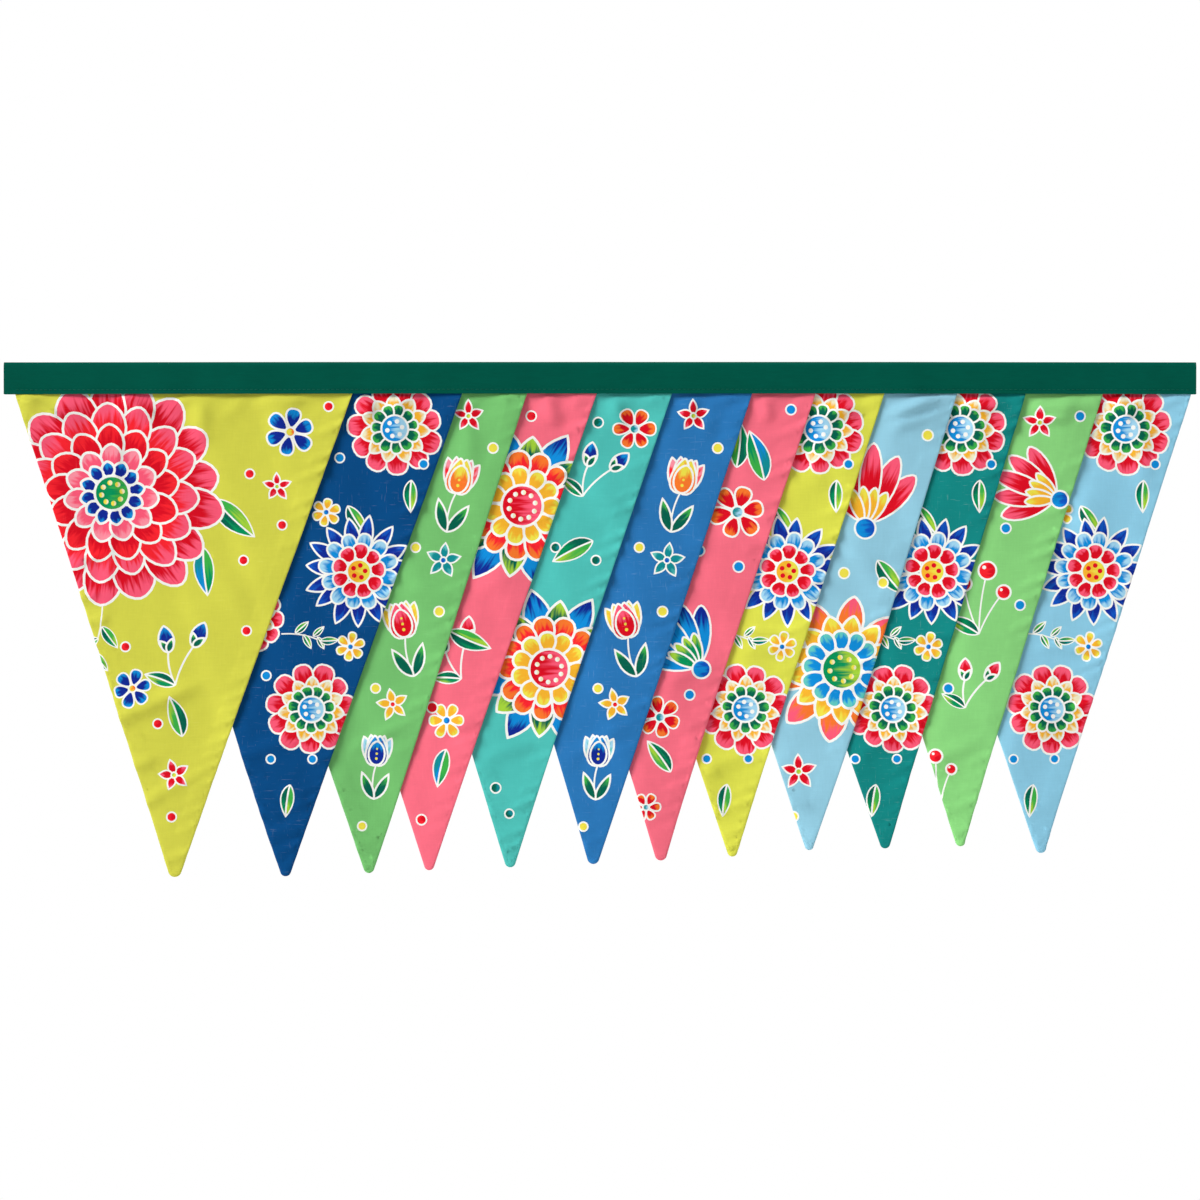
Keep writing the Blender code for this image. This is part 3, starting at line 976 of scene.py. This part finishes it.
def seam_ripple(number, cut, plane):
    """Small gathers across the two long seams, where the thread has drawn the cloth in."""
    rise = np.zeros(len(plane))
    for side, corner in enumerate((cut.left, cut.right)):
        away = np.abs(plane[:, 0] - side_x(cut, corner, plane[:, 1] * MM) / MM)
        along = plane[:, 1] + 0.45 * away
        phase = 2.1 * number + 1.3 * side
        waves = sum(np.sin(along / size + k * phase) for k, size in enumerate(SEAM_WAVES, 1))
        strength = SEAM_GATHER * (0.55 + 0.45 * np.sin(along / 29 + phase))
        rise += strength * np.clip(waves + 0.8, 0, 3) * np.exp(-((away / GATHER_REACH) ** 1.5))
    return rise


def head_ripple(number, plane):
    """Short wrinkles below the tape, where the heads were pushed together as it was sewn."""
    down = np.maximum(tape_edge / MM - plane[:, 1], 0)
    along = plane[:, 0] + 0.7 * down
    phase = 2.9 * number
    waves = np.sin(along / 2.9 + phase) + np.sin(along / 5.3 + 2 * phase)
    waves += np.sin(down / 2.6 + along / 9 + phase)
    return HEAD_GATHER * np.clip(waves + 0.6, 0, 3) * np.exp(-down / GATHER_REACH)


def soft_rise(number, plane):
    """Broad, faint unevenness of cloth that was pressed and then handled."""
    rise = np.zeros(len(plane))
    for k, (across, down) in enumerate(((23, 13), (-17, 9), (11, -15), (31, 7))):
        phase = 1.7 * number + 2.3 * k
        rise += 1 + np.sin(plane[:, 0] / across + plane[:, 1] / down + phase)
    return HANDLED * rise


def middle_surface(number, pennant, cut, plane):
    """Where the middle of the cloth lies along Y, for points given in millimetres."""
    x, z = plane[:, 0] * MM, plane[:, 1] * MM
    y = backmost - PITCH * (layer(x, z) - number) - drape(x, z)
    below = np.maximum(TIPS_PART - z, 0) / (TIPS_PART - cut.tip_z)
    y -= pennant.lean * MM * below**2
    open_cloth = np.ones(len(plane))
    if number > 1:
        neighbour = cuts[number - 2]
        outside = x - side_x(neighbour, neighbour.right, z)
        open_cloth = smooth((outside - TUCK * MM) / (FREE_OVER * MM))
    clear_of_tape = smooth((tape_edge - z) / (CLEAR_OF_TAPE * MM))
    own = crease_rise(number, cut, plane) + seam_ripple(number, cut, plane)
    own += head_ripple(number, plane) + soft_rise(number, plane)
    return y - own * open_cloth * clear_of_tape * MM


STROKE_APART = 3.7  # parts the streaks of one shape from those of the next


def write_inks(mesh, plane, triangles, top, shapes, pennant):
    """Gives each face corner its two inks, and its place along and across the stroke."""
    ground = Shape(None, np.array([0, 0]), np.array([0, 1e6]), pennant.ground, pennant.ground)
    drawn = [ground] + shapes
    roots = np.array([shape.root for shape in drawn])
    ways = np.array([shape.tip for shape in drawn]) - roots
    sizes = np.maximum(np.linalg.norm(ways, axis=1), 1e-6)
    at_root = np.array([[*linear(shape.ink_at_root), 1] for shape in drawn])
    at_tip = np.array([[*linear(shape.ink_at_tip), 1] for shape in drawn])
    owner = np.repeat(top, 3)
    away = plane[triangles.ravel()] - roots[owner]
    along = (away * ways[owner]).sum(axis=1) / sizes[owner] ** 2
    across = (away[:, 0] * -ways[owner][:, 1] + away[:, 1] * ways[owner][:, 0]) / sizes[owner]
    stroke = np.stack([along, across, owner * STROKE_APART], axis=1)
    for name, kind, field, values in (
        ("ink_at_root", "FLOAT_COLOR", "color", at_root[owner]),
        ("ink_at_tip", "FLOAT_COLOR", "color", at_tip[owner]),
        ("stroke", "FLOAT_VECTOR", "vector", stroke),
    ):
        on_back = values.reshape(len(top), 3, -1)[:, ::-1].reshape(len(values), -1)
        both_sides = np.concatenate([values, on_back]).astype(np.float32)
        mesh.attributes.new(name, kind, "CORNER").data.foreach_set(field, both_sides.ravel())


THREADS = 1.0 * MM  # real threads lie 0.4 mm apart, drawn wider so that they show
RELIEF = 0.06 * MM
SOFT_SHEEN = 0.01


def fibre_shader(name, roughness, specular, sheen):
    """A new material, with its tree, its shader and each point's place on the piece."""
    material = bpy.data.materials.new(name)
    material.use_nodes = True
    tree = material.node_tree
    shader = tree.nodes["Principled BSDF"]
    shader.inputs["Roughness"].default_value = roughness
    shader.inputs["Specular IOR Level"].default_value = specular
    shader.inputs["Sheen Weight"].default_value = sheen
    return material, tree, shader, add_node(tree, "ShaderNodeTexCoord").outputs["Object"]


def colour_and_relief(tree, shader, colour, height, strength, depth):
    """Links the shader to its colour and to a bump of the given depth."""
    bump = add_node(tree, "ShaderNodeBump", {"Height": height, "Strength": strength, "Distance": depth})
    tree.links.new(colour, shader.inputs["Base Color"])
    tree.links.new(bump.outputs[0], shader.inputs["Normal"])


def weave(tree, where):
    """A plain weave's height: warp and weft threads as two crossing rows of ridges."""
    wave = {"Scale": math.tau / 20 / THREADS, "Distortion": 1.2, "Detail": 1, "Detail Scale": 0.4}
    warp, weft = (
        add_node(tree, "ShaderNodeTexWave", {"Vector": where, **wave}, bands_direction=way).outputs["Fac"]
        for way in "XZ"
    )
    return add_node(tree, "ShaderNodeMath", {0: warp, 1: weft}, operation="ADD").outputs[0]


def streaks(tree, where, across, along):
    """Noise in long streaks: its sizes across X and along Z are in metres."""
    scale = (1 / across, 1 / across, 1 / along)
    drawn_out = add_node(tree, "ShaderNodeMapping", {"Vector": where, "Scale": scale}).outputs[0]
    noise = {"Vector": drawn_out, "Scale": 1, "Detail": 2.0}
    return add_node(tree, "ShaderNodeTexNoise", noise).outputs["Fac"]


def brushed_ink(tree):
    """The two inks of each shape, run together along the stroke in uneven bristle marks."""
    stroke = add_node(tree, "ShaderNodeAttribute", attribute_name="stroke").outputs["Vector"]
    root = add_node(tree, "ShaderNodeAttribute", attribute_name="ink_at_root").outputs["Color"]
    tip = add_node(tree, "ShaderNodeAttribute", attribute_name="ink_at_tip").outputs["Color"]
    bristles = add_node(tree, "ShaderNodeMapping", {"Vector": stroke, "Scale": (1.3, 0.5, 1.0)})
    streak = add_node(
        tree, "ShaderNodeTexNoise", {"Vector": bristles.outputs[0], "Scale": 1, "Detail": 1.5}
    ).outputs["Fac"]
    along = add_node(tree, "ShaderNodeSeparateXYZ", {0: stroke}).outputs["X"]
    pushed = add_node(tree, "ShaderNodeMath", {0: streak, 1: 1.3, 2: along}, operation="MULTIPLY_ADD")
    share = add_node(
        tree,
        "ShaderNodeMapRange",
        {"Value": pushed.outputs[0], "From Min": 1.0, "From Max": 1.45},
        interpolation_type="SMOOTHSTEP",
    )
    mixed = {"Factor": share.outputs[0], "A": root, "B": tip}
    return add_node(tree, "ShaderNodeMix", mixed, data_type="RGBA").outputs["Result"]


def printed_cotton(name, slub):
    """Printed quilting cotton: dull, with brushed inks, faint blotches and thicker threads."""
    material, tree, shader, where = fibre_shader(name, 0.85, 0.08, SOFT_SHEEN)
    blotch = add_node(tree, "ShaderNodeTexNoise", {"Vector": where, "Scale": 1 / (22 * MM), "Detail": 3})
    weft = streaks(tree, where, 8 * MM, 0.8 * MM)
    warp = streaks(tree, where, 0.8 * MM, 8 * MM)
    grain = add_node(tree, "ShaderNodeMath", {0: weft, 1: warp}, operation="ADD").outputs[0]
    uneven = add_node(
        tree, "ShaderNodeMath", {0: grain, 1: 0.5, 2: blotch.outputs["Fac"]}, operation="MULTIPLY_ADD"
    )
    value = add_node(
        tree,
        "ShaderNodeMapRange",
        {"Value": uneven.outputs[0], "From Min": 0.7, "From Max": 1.3, "To Min": 0.955, "To Max": 1.045},
    )
    dyed = add_node(
        tree, "ShaderNodeHueSaturation", {"Value": value.outputs[0], "Color": brushed_ink(tree)}
    )
    thick = add_node(tree, "ShaderNodeMath", {0: weft, 1: warp}, operation="MAXIMUM").outputs[0]
    fleck = add_node(
        tree, "ShaderNodeMapRange", {"Value": thick, "From Min": 0.66, "From Max": 0.80, "To Max": slub}
    )
    flecked = {"Factor": fleck.outputs[0], "A": dyed.outputs[0], "B": (*linear("F0F2F0"), 1)}
    pale = add_node(tree, "ShaderNodeMix", flecked, data_type="RGBA").outputs["Result"]
    raised = {0: thick, 1: 1.5, 2: weave(tree, where)}
    height = add_node(tree, "ShaderNodeMath", raised, operation="MULTIPLY_ADD").outputs[0]
    colour_and_relief(tree, shader, pale, height, 0.22, RELIEF)
    return material


def add_pennant(number, name, cut, pennant, material):
    """A pennant as one closed mesh, its two skins joined round its edge, and its outline."""
    hand = np.random.default_rng(100 + number)  # the unevenness of the drawing and the net
    outline = outline_of(cut, pennant)
    shapes = printed_shapes(cut, pennant.print, hand)
    plane, triangles, top = cut_cloth(outline, shapes, hand)
    count = len(plane)
    rim = rim_points(triangles, count)
    inside = np.where(rim, 0, distance_to(outline, plane))
    z = plane[:, 1] * MM
    middle = middle_surface(number, pennant, cut, plane)
    half = thickness(inside, z, cut) / 2
    front = np.stack([plane[:, 0] * MM, middle - half, z], axis=1)
    back = np.stack([plane[:, 0] * MM, middle + half, z], axis=1)[~rim]
    twin = np.arange(count)
    twin[~rim] = count + np.arange(len(back))
    faces = np.concatenate([triangles, twin[triangles][:, ::-1]])
    mesh = bpy.data.meshes.new(name)
    mesh.from_pydata(np.concatenate([front, back]).tolist(), [], faces.tolist())
    write_inks(mesh, plane, triangles, top, shapes, pennant)
    mesh.shade_smooth()
    mesh.materials.append(material)
    return add_object(name, mesh), outline


SLUBBY = (2, 6, 10, 12)  # pale, thicker threads show most in the cloth of these pennants

for number, (node, cut, pennant) in enumerate(zip(names, cuts, PENNANTS), 1):
    slub = 0.08 if number in SLUBBY else 0.03
    cotton = printed_cotton(f"printed_cotton_{number:02d}", slub)
    piece, outline = add_pennant(number, f"printed_pennant_{number:02d}", cut, pennant, cotton)
    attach(piece, "root")
    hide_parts(node)


# ---------------------------------------------------------------------------------------
# Binding tape. One plain dark green cotton strip, folded in half lengthwise over the heads
# of the pennants and pressed, with square-cut ends and its raw edges turned in. It is
# thicker in the middle, where up to five pennants lie in it, and one seam runs along it.
# ---------------------------------------------------------------------------------------
TAPE_GREEN = "005646"
FOLD_RISE = 3.0 * MM
FOLD_STEPS = 14
WALL_STEPS = 16
STATION = 4 * MM
SEAM_UP = 2.6 * MM  # the seam runs this far above the tape's lower edges
SEAM_DIP = 0.22 * MM
SEAM_DIP_WIDTH = 0.9 * MM
STITCH_PITCH = 3.0 * MM
STACK_REACH = 0.030  # the tape bridges each step in the stack over this far on either side
STACK_EASE = 0.014
WAVE_HEIGHT = 0.10 * MM
FRONT_WAVE = 0.7  # where the front wall's waves start


def dyed_cotton(name, colour):
    """Plain dyed cotton, woven and pressed: dull, with a soft bloom and barely uneven dye."""
    material, tree, shader, where = fibre_shader(name, 0.82, 0.03, SOFT_SHEEN)
    blotch = add_node(tree, "ShaderNodeTexNoise", {"Vector": where, "Scale": 1 / (30 * MM), "Detail": 2})
    slub = streaks(tree, where, 9 * MM, 0.8 * MM)
    uneven = add_node(tree, "ShaderNodeMath", {0: blotch.outputs["Fac"], 1: slub}, operation="ADD")
    value = add_node(
        tree,
        "ShaderNodeMapRange",
        {"Value": uneven.outputs[0], "From Min": 0.6, "From Max": 1.4, "To Min": 0.9, "To Max": 1.1},
    )
    colour_and_value = {"Value": value.outputs[0], "Color": (*linear(colour), 1)}
    green = add_node(tree, "ShaderNodeHueSaturation", colour_and_value).outputs[0]
    colour_and_relief(tree, shader, green, weave(tree, where), 0.35, RELIEF)
    return material


def stack_depth(x):
    """How far the front pennant stands before the backmost one, at the tape."""
    ending = np.array([cut.right for cut in cuts])[:, None] > x[None, :]
    first = np.where(ending.any(axis=0), ending.argmax(axis=0) + 1, 1)
    inside = ending.any(axis=0)
    return np.where(inside, PITCH * np.maximum(layer(x, np.full_like(x, tape_edge)) - first, 0), 0)


def tape_front(x):
    """Where the outside of the tape's front wall lies, smoothed over the steps in the stack."""
    reach = np.linspace(-STACK_REACH, STACK_REACH, 21)
    deepest = np.max([stack_depth(x + shift) for shift in reach], axis=0)
    return backmost - deepest - SHEET / 2 - GAP - TAPE_WALL


def eased_tape_front(x):
    """The front wall averaged along the tape, and never closer than the stack allows."""
    shifts = np.linspace(-STACK_EASE, STACK_EASE, 9)
    return np.mean([tape_front(x + shift) for shift in shifts], axis=0)


def seam_dip(x, z):
    """The cloth is drawn in along the seam, most of all where each stitch goes down."""
    across = np.exp(-(((z - tape_edge - SEAM_UP) / SEAM_DIP_WIDTH) ** 2))
    holes = 0.75 + 0.25 * np.cos(math.tau * x / STITCH_PITCH)
    return SEAM_DIP * across * holes


def tape_ripple(x, z, phase):
    """A pressed tape is never quite flat: faint waves, stronger towards its lower edges."""
    lower = smooth((tape_high.z - z) / (tape_high.z - tape_edge))
    return WAVE_HEIGHT * lower * (np.sin(x / 0.0117 + phase) + np.sin(x / 0.0291 + 2 * phase))


def fold_line(x, front, back, rise, wall):
    """Rows of points up the back wall, over the rounded fold and down the front wall."""
    rows = []
    middle = (front + back) / 2
    half = (back - front) / 2
    heights = np.linspace(tape_edge, tape_high.z - FOLD_RISE, WALL_STEPS + 1)
    for z in heights[:-1]:
        rows.append((x, back - seam_dip(x, z) * wall, np.full_like(x, z)))
    for step in range(FOLD_STEPS + 1):
        angle = math.pi * step / FOLD_STEPS
        top = heights[-1] + rise * math.sin(angle)
        rows.append((x, middle + half * math.cos(angle), np.full_like(x, top)))
    for z in heights[-2::-1]:
        rows.append((x, front + (seam_dip(x, z) + tape_ripple(x, z, FRONT_WAVE)) * wall, np.full_like(x, z)))
    return [np.stack(row, axis=1) for row in rows]


def add_tape():
    """The folded strip as one closed sheet: an outer and an inner skin joined at its edges."""
    count = round((tape_high.x - tape_low.x) / STATION)
    x = np.linspace(tape_low.x, tape_high.x, count + 1)
    front = eased_tape_front(x)
    back = np.full_like(x, tape_back)
    outer = fold_line(x, front, back, FOLD_RISE, 1)
    inner = fold_line(x, front + TAPE_WALL, back - TAPE_WALL, FOLD_RISE - TAPE_WALL, 0.5)
    loop = outer + inner[::-1]
    stations = len(x)
    rows = len(loop)
    faces = []
    for row in range(rows):
        here = row * stations
        above = (row + 1) % rows * stations
        faces += [(here + k, here + k + 1, above + k + 1, above + k) for k in range(stations - 1)]
    for k, turn in ((0, 1), (stations - 1, -1)):
        for row in range(len(outer) - 1):
            mate = rows - 1 - row
            corners = [r * stations + k for r in (row, row + 1, mate - 1, mate)]
            faces.append(tuple(corners[::turn]))
    mesh = bpy.data.meshes.new("tape")
    mesh.from_pydata(np.concatenate(loop).tolist(), [], faces)
    mesh.shade_smooth()
    mesh.set_sharp_from_angle(angle=math.radians(50))
    mesh.materials.append(dyed_cotton("dyed_cotton_tape", TAPE_GREEN))
    return add_object("tape", mesh)


tape = add_tape()
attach(tape, "root")
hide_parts("binding_tape")


# ---------------------------------------------------------------------------------------
# Stitches. One run of machine lockstitch closes the tape over the pennants' heads, in
# polyester thread dyed like the tape. It shows on both faces, drawn into a slight groove.
# ---------------------------------------------------------------------------------------
STITCH_LENGTH = 2.3 * MM
THREAD_WIDTH = 0.45 * MM
THREAD_PROUD = 0.06 * MM
THREAD_GREEN = "00604C"
PLY_LENGTH = 0.5 * MM
PLY_DEPTH = 0.05 * MM
END_GAP = 2  # the run starts and stops this many stitches in from the tape's ends


def twisted_thread(name, colour):
    """Twisted polyester sewing thread: smoother than the cloth, with a faint lustre, and painted light and
    shade along its twist, lighter on the ridges and darker in the grooves.
    """
    material, tree, shader, where = fibre_shader(name, 0.55, 0.2, 0)
    scale = math.tau / 20 / PLY_LENGTH
    plies = add_node(
        tree, "ShaderNodeTexWave", {"Vector": where, "Scale": scale}, bands_direction="DIAGONAL"
    ).outputs["Fac"]
    # The ply wave that raises the bump also sets the colour: painted highlight on the ridges of the twist,
    # painted shade in its grooves.
    value = add_node(tree, "ShaderNodeMapRange", {"Value": plies, "To Min": 0.85, "To Max": 1.15})
    colour_and_value = {"Value": value.outputs[0], "Color": (*linear(colour), 1)}
    green = add_node(tree, "ShaderNodeHueSaturation", colour_and_value).outputs[0]
    colour_and_relief(tree, shader, green, plies, 0.5, PLY_DEPTH)
    return material


def run_of_stitches():
    """A node tree that lays one low stitch at each pitch along the seam lines given to it."""
    tree = bpy.data.node_groups.new("run_of_stitches", "GeometryNodeTree")
    tree.interface.new_socket("Seam", in_out="INPUT", socket_type="NodeSocketGeometry")
    for name in ("Pitch", "Stitch Length", "Thread Width"):
        tree.interface.new_socket(name, in_out="INPUT", socket_type="NodeSocketFloat")
    tree.interface.new_socket("Thread", in_out="INPUT", socket_type="NodeSocketMaterial")
    tree.interface.new_socket("Stitches", in_out="OUTPUT", socket_type="NodeSocketGeometry")
    given = add_node(tree, "NodeGroupInput").outputs
    line = add_node(tree, "GeometryNodeMeshToCurve", {"Mesh": given["Seam"]})
    spots = add_node(
        tree, "GeometryNodeCurveToPoints", {"Curve": line.outputs[0], "Length": given["Pitch"]}, mode="LENGTH"
    )
    along = add_node(
        tree, "FunctionNodeAlignRotationToVector", {"Vector": spots.outputs["Tangent"]}, axis="X"
    )
    bead = add_node(tree, "GeometryNodeMeshUVSphere", {"Segments": 8, "Rings": 6, "Radius": 0.5})
    size = add_node(
        tree,
        "ShaderNodeCombineXYZ",
        {"X": given["Stitch Length"], "Y": given["Thread Width"], "Z": given["Thread Width"]},
    )
    laid = add_node(
        tree,
        "GeometryNodeInstanceOnPoints",
        {
            "Points": spots.outputs["Points"],
            "Instance": bead.outputs["Mesh"],
            "Rotation": along.outputs[0],
            "Scale": size.outputs[0],
        },
    )
    real = add_node(tree, "GeometryNodeRealizeInstances", {"Geometry": laid.outputs[0]})
    made = add_node(
        tree, "GeometryNodeSetMaterial", {"Geometry": real.outputs[0], "Material": given["Thread"]}
    )
    add_node(tree, "NodeGroupOutput", {"Stitches": made.outputs[0]})
    return tree


def seam_lines():
    """The seam's two lines, on the tape's front and back, as one mesh of edges."""
    count = int((tape_high.x - tape_low.x) / STITCH_PITCH) - 2 * END_GAP
    x = (np.arange(count + 1) - count / 2) * STITCH_PITCH + STITCH_PITCH / 2
    z = np.full_like(x, tape_edge + SEAM_UP)
    depth = seam_dip(x, z)
    front = eased_tape_front(x) + depth + tape_ripple(x, z, FRONT_WAVE) - THREAD_PROUD
    back = tape_back - depth + THREAD_PROUD
    points = np.concatenate([np.stack([x, y, z], axis=1) for y in (front, back)])
    edges = [(k, k + 1) for k in range(2 * len(x) - 1) if k != len(x) - 1]
    mesh = bpy.data.meshes.new("seam_lines")
    mesh.from_pydata(points.tolist(), edges, [])
    return mesh


def add_stitches():
    """Lays the stitches along both seam lines and keeps them as one plain mesh."""
    guide = add_object("tape_stitches", seam_lines())
    tree = run_of_stitches()
    modifier = guide.modifiers.new("stitches", "NODES")
    modifier.node_group = tree
    values = {
        "Pitch": STITCH_PITCH,
        "Stitch Length": STITCH_LENGTH,
        "Thread Width": THREAD_WIDTH,
        "Thread": twisted_thread("polyester_thread", THREAD_GREEN),
    }
    for socket in tree.interface.items_tree:
        if socket.name in values:
            modifier[socket.identifier] = values[socket.name]
    evaluated = guide.evaluated_get(bpy.context.evaluated_depsgraph_get())
    mesh = bpy.data.meshes.new_from_object(evaluated)
    guide.modifiers.clear()
    guide.data = mesh
    mesh.shade_smooth()
    return guide


stitches = add_stitches()
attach(stitches, "root")
